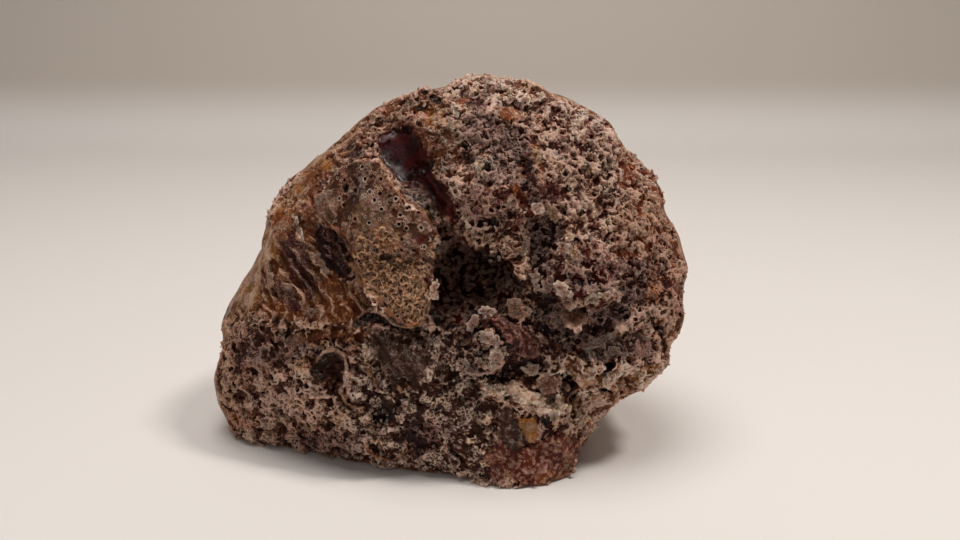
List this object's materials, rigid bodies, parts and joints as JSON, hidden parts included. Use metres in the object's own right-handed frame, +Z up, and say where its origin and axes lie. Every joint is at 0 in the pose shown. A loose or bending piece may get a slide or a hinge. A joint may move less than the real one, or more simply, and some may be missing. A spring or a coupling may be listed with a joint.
{
  "type": "chalcedony geode nodule",
  "caption": "Rough domed lump of reddish-brown chalcedony with pitted froth, a raised plate, chipped flakes and a dark ragged hollow in its broken front.",
  "frame": {"origin": "middle of the stone's box, on the flat break that it rests on", "axes": "+Z up, -Y out of the broken front with the hollow, +X to the right of that front, along the stone's length"},
  "size_m": [0.0908, 0.058, 0.0682],
  "materials": {
    "geode": "rough pitted chalcedony with glossy dark red patches where it is freshly broken"
  },
  "bodies": {
    "root": {"geode": "geode"}
  },
  "joints": []
}
